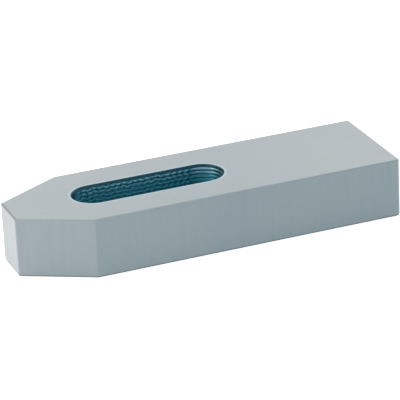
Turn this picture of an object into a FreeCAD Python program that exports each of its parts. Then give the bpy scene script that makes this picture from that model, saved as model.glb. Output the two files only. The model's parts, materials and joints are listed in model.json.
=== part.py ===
"""Clamp strap with a tapered nose and a long through slot, milled from one steel bar.

The frame is in millimetres. X runs across the bar, Y along it from the nose at -Y to the
heel at +Y, and Z up. The origin is at the middle of the underside of the bar.
"""

import FreeCAD, Part
import math
import os

# The bar
BAR_LENGTH = 160.0          # nose end to heel end
BAR_WIDTH = 50.0
BAR_HEIGHT = 25.0

# The nose, narrowed by one flank on each side
NOSE_WIDTH = 18.0           # flat left at the end of the nose
FLANK_ANGLE = 30.0          # degrees between a flank and the long sides

# The slot for the clamping stud
SLOT_WIDTH = 18.0
SLOT_LENGTH = 64.0          # end to end, over both round ends
SLOT_FROM_NOSE = 27.5       # nose end to the nearer end of the slot
RIM_CHAMFER = 0.8           # on both rims of the slot

# The furrows that the teeth of the roughing cutter leave round the slot's wall
FURROW_PITCH = 1.6          # from one furrow to the next, up the wall
FURROW_DEPTH = 0.25
FURROW_FLOOR = 0.5          # height of the flat bottom of a furrow
FURROW_LAND = 0.4           # height of the plain wall left between two furrows

# Broken edges
EDGE_ROUND = 0.8            # all edges round the top and the underside
CORNER_ROUND = 0.8          # upright edges of the nose and of its flanks
HEEL_CORNER_ROUND = 1.6     # upright edges of the heel

NEAR = 0.01                 # two points closer than this are the same point

UP = FreeCAD.Vector(0, 0, 1)
NODE_NAME = "clamp_strap"


def nose_end_y():
    """Y of the flat end of the nose."""
    return -BAR_LENGTH / 2


def flank_length():
    """Length of a flank, measured along the bar."""
    return (BAR_WIDTH - NOSE_WIDTH) / 2 / math.tan(math.radians(FLANK_ANGLE))


def slot_end_centres():
    """Y of the centres of the slot's two round ends, the nose's first."""
    first = nose_end_y() + SLOT_FROM_NOSE + SLOT_WIDTH / 2
    return first, first + SLOT_LENGTH - SLOT_WIDTH


def bar_corners():
    """Corners of the bar seen from above, anticlockwise, each with the rounding it gets."""
    nose = nose_end_y()
    shoulder = nose + flank_length()
    heel = nose + BAR_LENGTH
    tip = NOSE_WIDTH / 2
    side = BAR_WIDTH / 2
    return [
        (FreeCAD.Vector(tip, nose, 0), CORNER_ROUND),
        (FreeCAD.Vector(side, shoulder, 0), CORNER_ROUND),
        (FreeCAD.Vector(side, heel, 0), HEEL_CORNER_ROUND),
        (FreeCAD.Vector(-side, heel, 0), HEEL_CORNER_ROUND),
        (FreeCAD.Vector(-side, shoulder, 0), CORNER_ROUND),
        (FreeCAD.Vector(-tip, nose, 0), CORNER_ROUND),
    ]


def upright_edge(solid, corner):
    """The solid's upright edge over a corner of the outline, in a list."""
    middle = corner + UP * (BAR_HEIGHT / 2)
    return [edge for edge in solid.Edges if edge.CenterOfMass.isEqual(middle, NEAR)]


def edges_round_face(solid, height):
    """The edges round the solid's flat face at a height."""
    faces = [face for face in solid.Faces if abs(face.CenterOfMass.z - height) < NEAR]
    return [edge for face in faces for edge in face.Edges]


def make_bar():
    """The bar with its tapered nose and broken edges, before the slot is cut."""
    corners = bar_corners()
    points = [corner for corner, _ in corners]
    bar = Part.Face(Part.makePolygon(points + points[:1])).extrude(UP * BAR_HEIGHT)
    for corner, rounding in corners:
        bar = bar.makeFillet(rounding, upright_edge(bar, corner))
    return bar.makeFillet(EDGE_ROUND, edges_round_face(bar, 0) + edges_round_face(bar, BAR_HEIGHT))


def furrow_starts():
    """Heights where the furrows start, spread evenly between the slot's two rims."""
    room = BAR_HEIGHT - 2 * RIM_CHAMFER - FURROW_LAND
    count = int(room / FURROW_PITCH)
    first = (BAR_HEIGHT - count * FURROW_PITCH + FURROW_LAND) / 2
    return [first + turn * FURROW_PITCH for turn in range(count)]


def furrow_points(start):
    """The section of one furrow, from its lower lip to its upper one, in the XZ plane."""
    lip = SLOT_WIDTH / 2
    slope = (FURROW_PITCH - FURROW_LAND - FURROW_FLOOR) / 2
    return [
        FreeCAD.Vector(lip, 0, start),
        FreeCAD.Vector(lip + FURROW_DEPTH, 0, start + slope),
        FreeCAD.Vector(lip + FURROW_DEPTH, 0, start + slope + FURROW_FLOOR),
        FreeCAD.Vector(lip, 0, start + FURROW_PITCH - FURROW_LAND),
    ]


def cutter_half_section():
    """Half of the cutter's section as a face: its axis, its teeth and its two flared ends.

    The flares cut the rims' chamfers, and run on past both faces of the bar by as much again.
    """
    wall = SLOT_WIDTH / 2
    flare = wall + 2 * RIM_CHAMFER
    below = -RIM_CHAMFER
    above = BAR_HEIGHT + RIM_CHAMFER
    points = [
        FreeCAD.Vector(0, 0, below),
        FreeCAD.Vector(flare, 0, below),
        FreeCAD.Vector(wall, 0, RIM_CHAMFER),
    ]
    for start in furrow_starts():
        points += furrow_points(start)
    points += [
        FreeCAD.Vector(wall, 0, BAR_HEIGHT - RIM_CHAMFER),
        FreeCAD.Vector(flare, 0, above),
        FreeCAD.Vector(0, 0, above),
    ]
    return Part.Face(Part.makePolygon(points + points[:1]))


def make_slot_cut():
    """The space that the cutter clears: round at both ends and straight between them."""
    nose_centre, heel_centre = slot_end_centres()
    at_nose = FreeCAD.Vector(0, nose_centre, 0)
    at_heel = FreeCAD.Vector(0, heel_centre, 0)
    travel = at_heel - at_nose
    right_half = cutter_half_section()
    left_half = right_half.rotated(FreeCAD.Vector(), UP, 180)
    nose_round = right_half.translated(at_nose).revolve(at_nose, UP, -180)
    heel_round = right_half.translated(at_heel).revolve(at_heel, UP, 180)
    right_run = right_half.translated(at_nose).extrude(travel)
    left_run = left_half.translated(at_nose).extrude(travel)
    return nose_round.fuse([right_run, left_run, heel_round]).removeSplitter()


def make_clamp_strap():
    """The finished strap, one solid."""
    return make_bar().cut(make_slot_cut()).Solids[0]


def main():
    """Build the strap and write it to its STEP file."""
    os.makedirs("parts", exist_ok=True)
    strap = make_clamp_strap()
    print(NODE_NAME, "valid:", strap.isValid(), "volume in mm3:", round(strap.Volume, 1))
    strap.exportStep("parts/" + NODE_NAME + ".step")


main()
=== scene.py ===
"""Clamp strap with a tapered nose and a long through slot, in its visual form.

The strap is one piece of steel: a bar with broken edges, and a slot whose wall carries the
marks of the roughing cutter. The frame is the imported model's: X across the strap, Y along it
from the nose to the heel, Z up. Meshes are shaped in millimetres and brought to metres last.
"""

import json
import logging
import math
from dataclasses import dataclass
from enum import IntEnum, StrEnum
from typing import Any

import bmesh
import bpy
from mathutils import Matrix, Quaternion, Vector, noise


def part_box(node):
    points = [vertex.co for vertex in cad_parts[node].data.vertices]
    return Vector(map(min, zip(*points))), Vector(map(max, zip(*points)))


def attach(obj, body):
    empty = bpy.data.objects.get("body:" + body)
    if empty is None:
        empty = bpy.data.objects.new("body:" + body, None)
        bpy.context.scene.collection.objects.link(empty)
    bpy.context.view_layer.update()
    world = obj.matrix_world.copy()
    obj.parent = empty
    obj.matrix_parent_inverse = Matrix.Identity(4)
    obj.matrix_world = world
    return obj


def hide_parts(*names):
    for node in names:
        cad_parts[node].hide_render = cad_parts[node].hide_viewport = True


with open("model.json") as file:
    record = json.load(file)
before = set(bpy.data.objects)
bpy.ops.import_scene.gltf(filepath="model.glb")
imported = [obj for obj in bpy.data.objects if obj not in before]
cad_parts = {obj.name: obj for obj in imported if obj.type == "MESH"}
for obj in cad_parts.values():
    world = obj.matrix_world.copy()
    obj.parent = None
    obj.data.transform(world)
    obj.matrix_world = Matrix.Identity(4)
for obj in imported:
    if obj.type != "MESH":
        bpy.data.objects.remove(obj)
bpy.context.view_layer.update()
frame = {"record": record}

MM = 0.001
NODE = "clamp_strap"
UP = Vector((0.0, 0.0, 1.0))
WHITE = (1.0, 1.0, 1.0, 1.0)
NOISE_DETAIL = 2.0          # octaves of the noise textures
GRAIN_ROUGHNESS = 0.6       # how much the finer octaves count in a grain
ARC = 0.5                   # profile of a bevel whose section is an arc
SAME_MATERIAL = -1          # a bevel's material: that of the faces beside it
LOG = logging.getLogger(NODE)

Colour = tuple[float, float, float, float]
Edges = list[bmesh.types.BMEdge]


class Finish(IntEnum):
    """The two finishes of the strap, by the index of their material."""

    ENAMEL = 0
    MILLED = 1


class Mark(StrEnum):
    """Names of the point attributes that the finishes read."""

    EDGE = "edge"       # 1 where painted shade darkens an edge
    CREST = "crest"     # 1 on the crests between the cutter's marks, where a painted highlight lies
    RIM = "rim"         # 1 on the slot's chamfers, and fading over the flat face round them; painted shade on the chamfers and a painted highlight on the flat


class MixSocket(IntEnum):
    """Sockets of a colour mix node, by index, because other sockets share their names."""

    SHARE = 0
    FIRST = 6
    SECOND = 7
    MIXED = 2


def linear_colour(code: str) -> Colour:
    """Turn an sRGB hex colour to the linear values that shaders take.

    Args:
        code: Six hex digits, as in "8c9ea6".

    Returns:
        Red, green, blue and an alpha of one.
    """
    def channel(value: float) -> float:
        """Undo the sRGB curve for one channel."""
        return value / 12.92 if value <= 0.04045 else ((value + 0.055) / 1.055) ** 2.4

    red, green, blue = (channel(int(code[i:i + 2], 16) / 255) for i in (0, 2, 4))
    return red, green, blue, 1.0


def smooth_step(low: float, high: float, value: float) -> float:
    """Rise smoothly from 0 at low to 1 at high."""
    share = min(max((value - low) / (high - low), 0.0), 1.0)
    return share * share * (3 - 2 * share)


def add_node(tree: bpy.types.NodeTree, kind: str, settings: dict[str, Any] | None = None,
             inputs: dict[str | int, Any] | None = None) -> bpy.types.Node:
    """Add one shader node with its settings and what goes into it.

    Args:
        tree: The node tree that takes the node.
        kind: The node's type, as in "ShaderNodeMath".
        settings: Properties of the node by name.
        inputs: What goes into its inputs, by name or index. An output socket is linked, and
            anything else becomes the input's own value.

    Returns:
        The new node.
    """
    node = tree.nodes.new(kind)
    for name, value in (settings or {}).items():
        setattr(node, name, value)
    for name, value in (inputs or {}).items():
        if isinstance(value, bpy.types.NodeSocket):
            tree.links.new(value, node.inputs[name])
        else:
            node.inputs[name].default_value = value
    return node


def add_layer(tree: bpy.types.NodeTree, mark: Mark, under: Colour | bpy.types.NodeSocket,
              colour: str) -> bpy.types.NodeSocket:
    """Lay a colour over another where a point attribute says so.

    Args:
        tree: The node tree that takes the layer.
        mark: The attribute, which is 1 where only the new colour shows.
        under: The colour beneath, or the output that gives it.
        colour: The new colour, as six hex digits.

    Returns:
        The colour with the layer over it.
    """
    share = add_node(tree, "ShaderNodeAttribute", {"attribute_name": mark})
    mixed = add_node(tree, "ShaderNodeMix", {"data_type": "RGBA"},
                     {MixSocket.SHARE: share.outputs["Fac"], MixSocket.FIRST: under,
                      MixSocket.SECOND: linear_colour(colour)})
    return mixed.outputs[MixSocket.MIXED]


def add_ray_test(tree: bpy.types.NodeTree, *rays: str) -> bpy.types.NodeSocket:
    """Tell some kinds of ray from all others.

    Args:
        tree: The node tree that takes the test.
        rays: The kinds of ray, as in "Is Camera Ray".

    Returns:
        One for these kinds of ray, and zero for the others.
    """
    path = add_node(tree, "ShaderNodeLightPath")
    seen = path.outputs[rays[0]]
    for ray in rays[1:]:
        seen = add_node(tree, "ShaderNodeMath", {"operation": "MAXIMUM"},
                        {0: seen, 1: path.outputs[ray]}).outputs["Value"]
    return seen


def new_material(name: str) -> tuple[bpy.types.Material, bpy.types.NodeTree]:
    """Make an empty node material.

    Args:
        name: What the material is and how it was made.

    Returns:
        The material and its node tree, with nothing in it.
    """
    material = bpy.data.materials.new(name)
    material.use_nodes = True
    material.node_tree.nodes.clear()
    return material, material.node_tree


def add_grain(tree: bpy.types.NodeTree, place: bpy.types.NodeSocket, size: float,
              height: float) -> tuple[bpy.types.NodeSocket, bpy.types.NodeSocket]:
    """Add a fine even grain, for the colour and for the surface.

    Args:
        tree: The node tree that takes it.
        place: The coordinates that it follows.
        size: Size of one grain, in metres.
        height: How far the grains stand out, in metres.

    Returns:
        The grain as a factor, and the normal that it gives.
    """
    grain = add_node(tree, "ShaderNodeTexNoise",
                     inputs={"Vector": place, "Scale": 1 / size, "Detail": NOISE_DETAIL,
                             "Roughness": GRAIN_ROUGHNESS}).outputs["Fac"]
    bump = add_node(tree, "ShaderNodeBump", inputs={"Height": grain, "Distance": height})
    return grain, bump.outputs["Normal"]


def mesh_object(name: str, bm: bmesh.types.BMesh) -> bpy.types.Object:
    """Turn a finished bmesh to an object of the scene, and free it.

    Args:
        name: Name of the object and of its mesh.
        bm: The mesh, in metres.

    Returns:
        The new object, at the origin.
    """
    mesh = bpy.data.meshes.new(name)
    bm.to_mesh(mesh)
    bm.free()
    piece = bpy.data.objects.new(name, mesh)
    bpy.context.scene.collection.objects.link(piece)
    return piece


@dataclass(frozen=True)
class SprayedEnamel:
    """Thin grey-blue enamel sprayed on milled and ground steel.

    To the eye it is satin, with a fine even grain, faint upright streaks from the grinding that
    show through it, a darker line of painted shade over the edges round the underside and at
    the nose, and a paler band of painted highlight round the slot's rims.
    """

    colour: str = "9caab0"
    pale: str = "a8b4b7"
    painted_edge_shade: str = "576169"            # painted shade over the edges round the underside and at the nose
    rim_highlight_band: str = "b6d2da"          # painted highlight on the flat round the slot's rims
    roughness: float = 0.45
    ior: float = 1.5
    coat: float = 0.5               # the gloss that shows at a flat angle
    coat_roughness: float = 0.35
    patch_size: float = 40 * MM     # slow unevenness of the spray
    patch_strength: float = 1.2
    streak_width: float = 1.6 * MM  # the grinding marks, which stand upright
    streak_length: float = 30 * MM
    streak_strength: float = 0.9
    grain_size: float = 0.45 * MM   # drawn coarser than the real tenth of a millimetre
    grain_strength: float = 0.5
    grain_height: float = 0.01 * MM
    balance: float = -0.8           # brings the three together back to between 0 and 1

    def build(self) -> bpy.types.Material:
        """Make the material.

        Returns:
            The material, for the strap's flat faces and its rounds.
        """
        material, tree = new_material("sprayed_enamel_on_steel")
        place = add_node(tree, "ShaderNodeTexCoord").outputs["Object"]
        patches = add_node(tree, "ShaderNodeTexNoise",
                           inputs={"Vector": place, "Scale": 1 / self.patch_size,
                                   "Detail": NOISE_DETAIL})
        stretched = add_node(tree, "ShaderNodeMapping",
                             inputs={"Vector": place,
                                     "Scale": (1 / self.streak_width, 1 / self.streak_width,
                                               1 / self.streak_length)})
        streaks = add_node(tree, "ShaderNodeTexNoise",
                           inputs={"Vector": stretched.outputs["Vector"], "Scale": 1.0,
                                   "Detail": NOISE_DETAIL})
        grain, normal = add_grain(tree, place, self.grain_size, self.grain_height)
        paleness = self.balance
        for pattern, strength in ((patches.outputs["Fac"], self.patch_strength),
                                  (streaks.outputs["Fac"], self.streak_strength),
                                  (grain, self.grain_strength)):
            paleness = add_node(tree, "ShaderNodeMath", {"operation": "MULTIPLY_ADD"},
                                {0: pattern, 1: strength, 2: paleness}).outputs["Value"]
        tint = add_node(tree, "ShaderNodeMix", {"data_type": "RGBA"},
                        {MixSocket.SHARE: paleness, MixSocket.FIRST: linear_colour(self.colour),
                         MixSocket.SECOND: linear_colour(self.pale)})
        # Painted shade over the edges, and a painted highlight on the band round the slot's rims.
        edged = add_layer(tree, Mark.EDGE, tint.outputs[MixSocket.MIXED], self.painted_edge_shade)
        rimmed = add_layer(tree, Mark.RIM, edged, self.rim_highlight_band)
        shader = add_node(tree, "ShaderNodeBsdfPrincipled",
                          inputs={"Base Color": rimmed, "Normal": normal,
                                  "Roughness": self.roughness, "IOR": self.ior,
                                  "Coat Weight": self.coat,
                                  "Coat Roughness": self.coat_roughness})
        add_node(tree, "ShaderNodeOutputMaterial", inputs={"Surface": shader.outputs["BSDF"]})
        return material


@dataclass(frozen=True)
class RoughMilledSteel:
    """Steel wall as the roughing cutter left it, tinted by the heat of the cut.

    To the eye it is dark blue-green metal, with thin painted highlights along the crests between
    the cutter's marks, and a chamfer at each rim darkened with painted shade.
    """

    colour: str = "2c7789"
    crest: str = "cbe2ea"           # painted highlight along the crests
    # painted shade on the slot's chamfers
    chamfer: str = "2b4b58"
    metallic: float = 0.85
    roughness: float = 0.35
    grain_size: float = 0.4 * MM    # drawn coarser than the torn metal's own grain
    grain_height: float = 0.015 * MM

    def build(self) -> bpy.types.Material:
        """Make the material.

        Returns:
            The material, for the slot's wall and its chamfers.
        """
        material, tree = new_material("rough_milled_steel")
        place = add_node(tree, "ShaderNodeTexCoord").outputs["Object"]
        _, normal = add_grain(tree, place, self.grain_size, self.grain_height)
        # Painted highlights along the crests, and painted shade on the chamfers.
        crested = add_layer(tree, Mark.CREST, linear_colour(self.colour), self.crest)
        rimmed = add_layer(tree, Mark.RIM, crested, self.chamfer)
        shader = add_node(tree, "ShaderNodeBsdfPrincipled",
                          inputs={"Base Color": rimmed, "Normal": normal,
                                  "Metallic": self.metallic, "Roughness": self.roughness})
        add_node(tree, "ShaderNodeOutputMaterial", inputs={"Surface": shader.outputs["BSDF"]})
        return material


@dataclass
class StudSlot:
    """The slot's wall, with the marks that the roughing cutter left on it, and its rims.

    All sizes are in millimetres.
    """

    centre: Vector                  # at height zero
    width: float
    length: float                   # end to end, over both round ends
    low: float                      # heights of the strap's two faces
    high: float
    chamfer: float = 0.6
    pitch: float = 1.6              # height of one furrow
    depth: float = 0.35
    land: float = 0.25              # height over which the marks fade towards the chamfers
    dash: float = 2.6               # length of one tooth mark along a furrow
    dash_reach: float = 1.3         # how far a tooth mark reaches from its middle, along
    row_reach: float = 0.92         # and across the furrow
    sway: float = 0.5               # how far the rows wander, in furrows
    sway_near_nose: float = 0.75    # and how far they do where the cutter slowed down
    sway_size: float = 3.0          # length of one such bend
    slowing: float = 18.0           # length of the stretch where it slowed down
    smooth_from: float = 0.1        # where the marks start to fade round the nose's end,
    smooth_to: float = 0.6          # and where they have gone, in radii beyond the straight
    drift: float = 0.5              # how far a row's marks drift, in marks
    drift_size: float = 12.0        # length over which they do
    row_apart: float = 40.0         # keeps the drift of one row clear of the next row's
    crest_width: float = 0.34       # half the height of a crest's painted highlight
    crest_gap: float = 1.4          # how much of a crest's painted highlight is left out between two marks
    crest_level: float = 0.9        # how strong the painted highlights on the crests are on the whole
    crest_patch: float = 1.6        # size of the patches where they are brighter or duller
    crest_fade: float = 6.0         # depth from a face at which the painted highlights on the crests have faded out
    rim_highlight_band: float = 1.3             # width of the band of painted highlight round each rim
    column_step: float = 0.25       # from one point of the mesh to the next, round the wall
    row_step: float = 0.2           # and up it
    seam: float = 0.0125            # points nearer than this are one point

    @property
    def radius(self) -> float:
        """Radius of the round ends."""
        return self.width / 2

    @property
    def run(self) -> float:
        """Length of the straight stretches."""
        return self.length - self.width

    @property
    def girth(self) -> float:
        """Length of the wall, once round the slot."""
        return 2 * self.run + math.tau * self.radius

    def station(self, along: float) -> tuple[Vector, Vector]:
        """Find a place on the wall.

        Args:
            along: Distance round the wall from the nose end of its +X side.

        Returns:
            The point at height zero, and the direction into the steel.
        """
        side, along = divmod(along, self.run + math.pi * self.radius)
        turn = Matrix.Rotation(math.pi * side, 3, "Z")
        if along <= self.run:
            outward = Vector((1.0, 0.0, 0.0))
            point = Vector((self.radius, along - self.run / 2, 0.0))
        else:
            angle = (along - self.run) / self.radius
            outward = Vector((math.cos(angle), math.sin(angle), 0.0))
            point = outward * self.radius + Vector((0.0, self.run / 2, 0.0))
        return self.centre + turn @ point, turn @ outward

    def into_steel(self, point: Vector) -> Vector:
        """Find the way into the steel at a place near the wall.

        Args:
            point: The place.

        Returns:
            A level direction of length one, square to the wall.
        """
        offset = point - self.centre
        reach = min(max(offset.y, -self.run / 2), self.run / 2)
        return Vector((offset.x, offset.y - reach, 0.0)).normalized()

    def marks(self, point: Vector, along: float, height: float) -> tuple[float, float]:
        """Find what the cutter has left at a place on the wall.

        Each tooth leaves an oval mark. Along the straight stretches the marks of one row lie
        half a mark off those of the next, and round the heel's end they run together to
        furrows. The cutter came to the nose's end last, and left it nearly smooth.

        Args:
            point: The place on the wall.
            along: Its distance round the wall.
            height: Its height above the underside.

        Returns:
            Depth beyond the plain wall, as a share of the furrow depth, and how strong the painted
            highlight on the crest is there.
        """
        ahead = point.y - self.centre.y
        parted = 1 - smooth_step(-self.dash, self.dash, ahead - self.run / 2)
        rough = 1 - smooth_step(self.smooth_from, self.smooth_to,
                                (-ahead - self.run / 2) / self.radius)
        slowed = 1 - smooth_step(0, self.slowing, ahead + self.run / 2)
        sway = parted * (self.sway + (self.sway_near_nose - self.sway) * slowed)
        level = height / self.pitch + sway * noise.noise(point / self.sway_size)
        count = round(self.girth / self.dash)
        turn = along / self.girth * count
        deepest = 0.0
        for row in (math.floor(level), math.floor(level) + 1):
            off_along = self.off_middle(point, turn, row) * self.dash / self.dash_reach
            off_across = (level - row) * self.pitch / self.row_reach
            deepest = max(deepest, 1 - parted * off_along ** 2 - off_across ** 2)
        crest = math.floor(level) + 0.5
        off_crest = (level - crest) * self.pitch / self.crest_width
        gap = parted * (2 * self.off_middle(point, turn, math.floor(level))) ** 2
        patch = noise.noise((point + UP * crest * self.pitch) / self.crest_patch)
        bright = min(max(self.crest_level + patch, 0.0), 1.0)
        bright *= max(1 - off_crest ** 2, 0.0) * max(1 - self.crest_gap * gap, 0.0)
        # The painted highlight fades with depth below either face, as painted shade where less
        # light reaches into the slot.
        sunk = min(height - self.low, self.high - height)
        return deepest * rough, bright * rough * (1 - smooth_step(0, self.crest_fade, sunk))

    def off_middle(self, point: Vector, turn: float, row: int) -> float:
        """Distance from the middle of the nearest mark in a row, in marks.

        Args:
            point: The place on the wall.
            turn: Distance round the wall, in marks.
            row: Number of the row, counted up from the underside.

        Returns:
            A number between minus a half and a half.
        """
        drift = self.drift * noise.noise((point + UP * row * self.row_apart) / self.drift_size)
        place = turn + (row % 2) / 2 + drift
        return place - round(place)

    def build_wall(self, bm: bmesh.types.BMesh) -> set[bmesh.types.BMFace]:
        """Make the wall between the two chamfers.

        Args:
            bm: The mesh that takes it.

        Returns:
            The wall's faces.
        """
        low, high = self.low + self.chamfer, self.high - self.chamfer
        columns = round(self.girth / self.column_step)
        rows = round((high - low) / self.row_step)
        # The grid reaches from -1 to 1 both ways before its points are put on the wall.
        wall = bmesh.ops.create_grid(bm, x_segments=columns, y_segments=rows, size=1.0)["verts"]
        crest = bm.verts.layers.float[Mark.CREST]
        for vert in wall:
            along = (vert.co.x + 1) / 2 * self.girth
            height = low + (vert.co.y + 1) / 2 * (high - low)
            point, outward = self.station(along)
            calm = min(smooth_step(0, self.land, height - low),
                       smooth_step(0, self.land, high - height))
            bite, bright = self.marks(point, along, height)
            vert.co = point + outward * (bite * calm * self.depth) + UP * height
            vert[crest] = bright * calm
        faces = {face for vert in wall for face in vert.link_faces}
        bmesh.ops.remove_doubles(bm, verts=wall, dist=self.seam)
        return faces

    def build_rim(self, bm: bmesh.types.BMesh, wall: set[bmesh.types.BMFace],
                  level: float) -> tuple[list[bmesh.types.BMFace], Edges]:
        """Make the chamfer and the flat band round one rim, and mark them for painted shade on the
        chamfer and a painted highlight on the band.

        Args:
            bm: The mesh.
            wall: The wall's faces.
            level: Height of the strap's face that the rim lies in.

        Returns:
            The chamfer's faces and the band's outer edges.
        """
        middle = (self.low + self.high) / 2
        ring = [edge for edge in bm.edges
                if edge.is_boundary and edge.link_faces[0] in wall
                and (edge.verts[0].co.z > middle) == (level > middle)]
        slope, rim = self.widen(bm, ring, self.chamfer, level)
        mark = bm.verts.layers.float[Mark.RIM]
        for face in slope:
            for vert in face.verts:
                vert[mark] = 1.0
        _, outline = self.widen(bm, rim, self.rim_highlight_band, level)
        for edge in outline:
            for vert in edge.verts:
                vert[mark] = 0.0
        return slope, outline

    def build(self, bm: bmesh.types.BMesh) -> list[Edges]:
        """Make the wall, its two chamfers and the flat band round each rim.

        Args:
            bm: The mesh that takes them.

        Returns:
            The outer edges of the upper band and those of the lower one.
        """
        wall = self.build_wall(bm)
        rims = [self.build_rim(bm, wall, level) for level in (self.high, self.low)]
        for face in wall.union(*(slope for slope, _ in rims)):
            face.material_index = Finish.MILLED
        return [outline for _, outline in rims]

    def widen(self, bm: bmesh.types.BMesh, edges: Edges, width: float,
              level: float) -> tuple[list[bmesh.types.BMFace], Edges]:
        """Add a strip of faces outward from a loop of edges.

        Args:
            bm: The mesh.
            edges: The loop that the strip starts from.
            width: How far the strip reaches into the steel.
            level: Height of the strip's outer side.

        Returns:
            The strip's faces and the edges along its outer side.
        """
        made = bmesh.ops.extrude_edge_only(bm, edges=edges)["geom"]
        for vert in (part for part in made if isinstance(part, bmesh.types.BMVert)):
            vert.co += self.into_steel(vert.co) * width
            vert.co.z = level
        strip = [part for part in made if isinstance(part, bmesh.types.BMFace)]
        outer = [part for part in made if isinstance(part, bmesh.types.BMEdge) and part.is_boundary]
        return strip, outer


@dataclass
class ClampStrap:
    """The whole strap, one piece of milled steel, with its sizes in millimetres."""

    low: Vector                     # two corners of the box round it
    high: Vector
    slot: StudSlot
    nose_width: float = 18.0        # of the flat end between the two flanks
    flank_angle: float = math.radians(30)
    edge_round: float = 0.8         # round the top and the underside
    corner_round: float = 0.8       # upright edges of the nose and of the flanks
    heel_round: float = 1.6         # upright edges of the heel
    nose_edge_shade: float = 0.60         # how strong the painted shade on the nose's upper edge is, beside the underside's
    round_segments: int = 6
    same_place: float = 0.1         # points nearer than this are one point
    flat_within: float = math.radians(3)    # a face turned less than this from flat is flat
    # In the order of Finish.
    finishes: tuple[SprayedEnamel, RoughMilledSteel] = (SprayedEnamel(), RoughMilledSteel())

    def corners(self) -> list[tuple[Vector, float, float]]:
        """Find the corners of the outline, anticlockwise from the nose's +X side.

        Returns:
            Each corner with its rounding and the angle that the outline turns there.
        """
        tip = self.nose_width / 2
        side = self.high.x
        shoulder = self.low.y + (side - tip) / math.tan(self.flank_angle)
        half = [
            (tip, self.low.y, self.corner_round, math.pi / 2 - self.flank_angle),
            (side, shoulder, self.corner_round, self.flank_angle),
            (side, self.high.y, self.heel_round, math.pi / 2),
        ]
        mirrored = [(-x, y, rounding, turn) for x, y, rounding, turn in reversed(half)]
        return [(Vector((x, y, self.low.z)), rounding, turn)
                for x, y, rounding, turn in half + mirrored]

    def build_bar(self, bm: bmesh.types.BMesh) -> list[Edges]:
        """Make the bar's outside with broken edges, open above and below.

        Args:
            bm: The mesh that takes the bar.

        Returns:
            The edges of the upper opening and those of the lower one.
        """
        corners = self.corners()
        base = bm.faces.new([bm.verts.new(corner) for corner, _, _ in corners])
        raised = bmesh.ops.extrude_face_region(bm, geom=[base])["geom"]
        bmesh.ops.translate(bm, vec=UP * (self.high.z - self.low.z),
                            verts=[part for part in raised if isinstance(part, bmesh.types.BMVert)])
        for corner, rounding, turn in corners:
            upright = [edge for edge in bm.edges
                       if all((vert.co.xy - corner.xy).length < self.same_place
                              for vert in edge.verts)]
            self.round_off(bm, upright, rounding * math.tan(turn / 2))
        rims = [edge for face in self.end_faces(bm) for edge in face.edges]
        self.round_off(bm, rims, self.edge_round)
        corner_verts = [vert for face in self.end_faces(bm) for vert in face.verts]
        bmesh.ops.remove_doubles(bm, verts=corner_verts, dist=self.same_place)
        ends = self.end_faces(bm)
        openings = [list(face.edges) for face in ends]
        bmesh.ops.delete(bm, geom=ends, context="FACES_ONLY")
        return openings

    def round_off(self, bm: bmesh.types.BMesh, edges: Edges, offset: float) -> None:
        """Round some edges off.

        Args:
            bm: The mesh.
            edges: The sharp edges.
            offset: Distance from a sharp edge to either side of its round.
        """
        bmesh.ops.bevel(bm, geom=edges, offset=offset, offset_type="OFFSET", affect="EDGES",
                        segments=self.round_segments, profile=ARC, material=SAME_MATERIAL)

    def end_faces(self, bm: bmesh.types.BMesh) -> list[bmesh.types.BMFace]:
        """Find the bar's two level faces.

        Args:
            bm: The mesh.

        Returns:
            The upper one and the lower one.
        """
        bm.normal_update()
        level = [face for face in bm.faces if abs(face.normal.z) > math.cos(self.flat_within)]
        return sorted(level, key=lambda face: -face.calc_center_median().z)

    def shade(self, bm: bmesh.types.BMesh) -> None:
        """Shade the flat faces flat and all others smooth, and mark the edges that take painted
        shade.

        The edges round the underside, which stand on the table, and the nose's upper edge are
        darkened with painted shade.

        Args:
            bm: The mesh, whole and with its normals pointing outwards.
        """
        mark = bm.verts.layers.float[Mark.EDGE]
        across = math.cos(self.flank_angle)
        ahead = math.sin(self.flank_angle)
        flats = [UP, Vector((1, 0, 0)), Vector((0, 1, 0)),
                 Vector((across, ahead, 0)), Vector((across, -ahead, 0))]
        nearly_one = math.cos(self.flat_within)
        for face in bm.faces:
            face.smooth = (face.material_index == Finish.MILLED
                           or all(abs(face.normal.dot(flat)) < nearly_one for flat in flats))
        for vert in bm.verts:
            if any(not face.smooth or face.material_index != Finish.ENAMEL
                   for face in vert.link_faces):
                continue
            middles = [face.calc_center_median() for face in vert.link_faces]
            if max(middle.z for middle in middles) < self.low.z + self.edge_round:
                vert[mark] = 1.0
            elif (min(middle.z for middle in middles) > self.high.z - self.edge_round
                  and max(middle.y for middle in middles) < self.low.y + self.edge_round):
                vert[mark] = self.nose_edge_shade

    def build(self) -> bpy.types.Object:
        """Make the strap, dressed and riding in place of its node.

        Returns:
            The strap's object, in metres.
        """
        bm = bmesh.new()
        for name in (Mark.EDGE, Mark.CREST, Mark.RIM):
            bm.verts.layers.float.new(name)
        openings = self.build_bar(bm)
        for opening, outline in zip(openings, self.slot.build(bm)):
            bmesh.ops.triangle_fill(bm, use_beauty=True, use_dissolve=False,
                                    edges=opening + outline)
        bmesh.ops.recalc_face_normals(bm, faces=bm.faces)
        self.shade(bm)
        LOG.info("open edges: %d", sum(not edge.is_manifold for edge in bm.edges))
        bmesh.ops.scale(bm, vec=Vector((MM, MM, MM)), verts=bm.verts)
        piece = mesh_object("strap_body", bm)
        for finish in self.finishes:
            piece.data.materials.append(finish.build())
        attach(piece, "root")
        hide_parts(NODE)
        return piece


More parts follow.
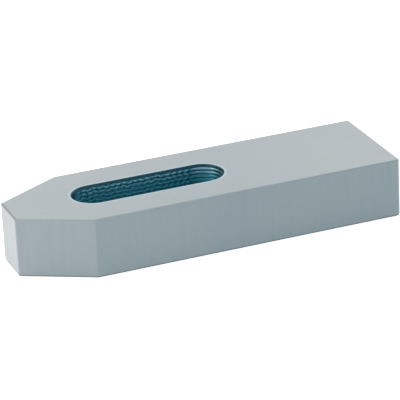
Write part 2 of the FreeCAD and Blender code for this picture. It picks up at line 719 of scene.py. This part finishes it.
@dataclass(frozen=True)
class SoftLamp:
    """One square lamp with a soft edge to its shadows, in metres and watts."""

    name: str
    place: tuple[float, float, float]
    size: float
    power: float
    colour: tuple[float, float, float]

    def build(self, target: Vector) -> None:
        """Hang the lamp.

        Args:
            target: The point that it faces.
        """
        lamp = bpy.data.lights.new(self.name, "AREA")
        lamp.size = self.size
        lamp.energy = self.power
        lamp.color = self.colour
        holder = bpy.data.objects.new(self.name, lamp)
        place = Vector(self.place)
        turn = (place - target).to_track_quat("Z", "Y")
        holder.matrix_world = Matrix.Translation(place) @ turn.to_matrix().to_4x4()
        bpy.context.scene.collection.objects.link(holder)


@dataclass
class Studio:
    """A pale floor, an even surround, soft lamps and the camera, in metres."""

    middle: Vector
    floor_level: float
    floor_size: float = 6.0
    floor_gap: float = 0.02 * MM    # keeps the floor clear of the strap's underside
    floor_colour: Colour = (0.90, 0.93, 0.95, 1.0)
    floor_lift: float = 0.75        # added where the camera or the gloss sees the floor
    surround: Colour = (0.50, 0.59, 0.62, 1.0)
    sensor_width: float = 36.0      # in millimetres, as the lens
    lens: float = 234.33
    camera_distance: float = 1.0599
    camera_azimuth: float = math.radians(69.06)     # from straight in front of the nose
    camera_elevation: float = math.radians(23.08)
    camera_roll: float = math.radians(-2.76)
    aim_offset: tuple[float, float, float] = (0.0002, 0.0015, 0.0008)   # from the strap's middle
    lamps: tuple[SoftLamp, ...] = (
        SoftLamp(name="nose_side_lamp", place=(0.03, -0.5, 0.25), size=0.35,
                 power=1.04, colour=(1.00, 0.71, 0.60)),
        SoftLamp(name="nose_overhead_lamp", place=(-0.12, -0.1, 0.2), size=0.15,
                 power=0.17, colour=(1.00, 0.78, 0.72)),
        SoftLamp(name="heel_overhead_lamp", place=(-0.12, 0.17, 0.2), size=0.15,
                 power=0.12, colour=(1.00, 0.80, 0.74)),
    )

    def build_floor(self) -> None:
        """Lay the floor, white to the camera and to gloss, with the strap's shadow on it.

        Seen from below it is clear, so that the strap's underside can be looked at.
        """
        bm = bmesh.new()
        bmesh.ops.create_grid(bm, x_segments=1, y_segments=1, size=self.floor_size / 2)
        bmesh.ops.translate(bm, verts=bm.verts, vec=UP * (self.floor_level - self.floor_gap))
        floor = mesh_object("floor", bm)
        material, tree = new_material("studio_floor")
        matt = add_node(tree, "ShaderNodeBsdfDiffuse", inputs={"Color": self.floor_colour})
        seen = add_ray_test(tree, "Is Camera Ray", "Is Glossy Ray")
        lift = add_node(tree, "ShaderNodeMath", {"operation": "MULTIPLY"},
                        {0: seen, 1: self.floor_lift})
        glow = add_node(tree, "ShaderNodeEmission",
                        inputs={"Color": WHITE, "Strength": lift.outputs["Value"]})
        both = add_node(tree, "ShaderNodeAddShader",
                        inputs={0: matt.outputs["BSDF"], 1: glow.outputs["Emission"]})
        side = add_node(tree, "ShaderNodeNewGeometry")
        clear = add_node(tree, "ShaderNodeBsdfTransparent")
        shown = add_node(tree, "ShaderNodeMixShader",
                         inputs={0: side.outputs["Backfacing"], 1: both.outputs["Shader"],
                                 2: clear.outputs["BSDF"]})
        add_node(tree, "ShaderNodeOutputMaterial", inputs={"Surface": shown.outputs["Shader"]})
        floor.data.materials.append(material)

    def build_surround(self) -> None:
        """Light the room evenly, and show the camera and the gloss a white surround."""
        world = bpy.data.worlds.new("surround")
        world.use_nodes = True
        tree = world.node_tree
        tree.nodes.clear()
        seen = add_ray_test(tree, "Is Camera Ray", "Is Glossy Ray", "Is Transmission Ray")
        colour = add_node(tree, "ShaderNodeMix", {"data_type": "RGBA"},
                          {MixSocket.SHARE: seen, MixSocket.FIRST: self.surround,
                           MixSocket.SECOND: WHITE})
        glow = add_node(tree, "ShaderNodeBackground",
                        inputs={"Color": colour.outputs[MixSocket.MIXED]})
        add_node(tree, "ShaderNodeOutputWorld", inputs={"Surface": glow.outputs["Background"]})
        bpy.context.scene.world = world

    def build_camera(self) -> None:
        """Stand the camera where it sees the strap's top, near side and nose."""
        data = bpy.data.cameras.new("camera")
        data.lens = self.lens
        data.sensor_width = self.sensor_width
        level = math.cos(self.camera_elevation)
        back = Vector((level * math.sin(self.camera_azimuth),
                       -level * math.cos(self.camera_azimuth), math.sin(self.camera_elevation)))
        turn = back.to_track_quat("Z", "Y") @ Quaternion((0, 0, 1), self.camera_roll)
        place = self.middle + Vector(self.aim_offset) + back * self.camera_distance
        camera = bpy.data.objects.new("camera", data)
        camera.matrix_world = Matrix.Translation(place) @ turn.to_matrix().to_4x4()
        bpy.context.scene.collection.objects.link(camera)
        bpy.context.scene.camera = camera

    def build(self) -> None:
        """Set up the whole studio."""
        self.build_floor()
        self.build_surround()
        self.build_camera()
        for lamp in self.lamps:
            lamp.build(self.middle)
        bpy.context.scene.view_settings.view_transform = "Standard"


def slot_from_record() -> StudSlot:
    """Read the slot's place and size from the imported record.

    Returns:
        The slot, in millimetres.
    """
    mount = next(mount for mount in frame["record"]["mounts"] if mount["name"] == "stud_slot")
    low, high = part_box(NODE)
    place = Vector(mount["pos_m"]) / MM
    return StudSlot(
        centre=Vector((place.x, place.y, 0.0)),
        width=2 * mount["dims"]["hole_r_mm"],
        length=mount["dims"]["slot_length_mm"],
        low=low.z / MM,
        high=high.z / MM,
    )


def main() -> None:
    """Build the strap and its studio."""
    logging.basicConfig(level=logging.INFO, format="%(name)s: %(message)s")
    low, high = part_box(NODE)
    piece = ClampStrap(low / MM, high / MM, slot_from_record()).build()
    LOG.info("%s: %d faces", piece.name, len(piece.data.polygons))
    Studio((low + high) / 2, low.z).build()


if __name__ == "__main__":
    main()
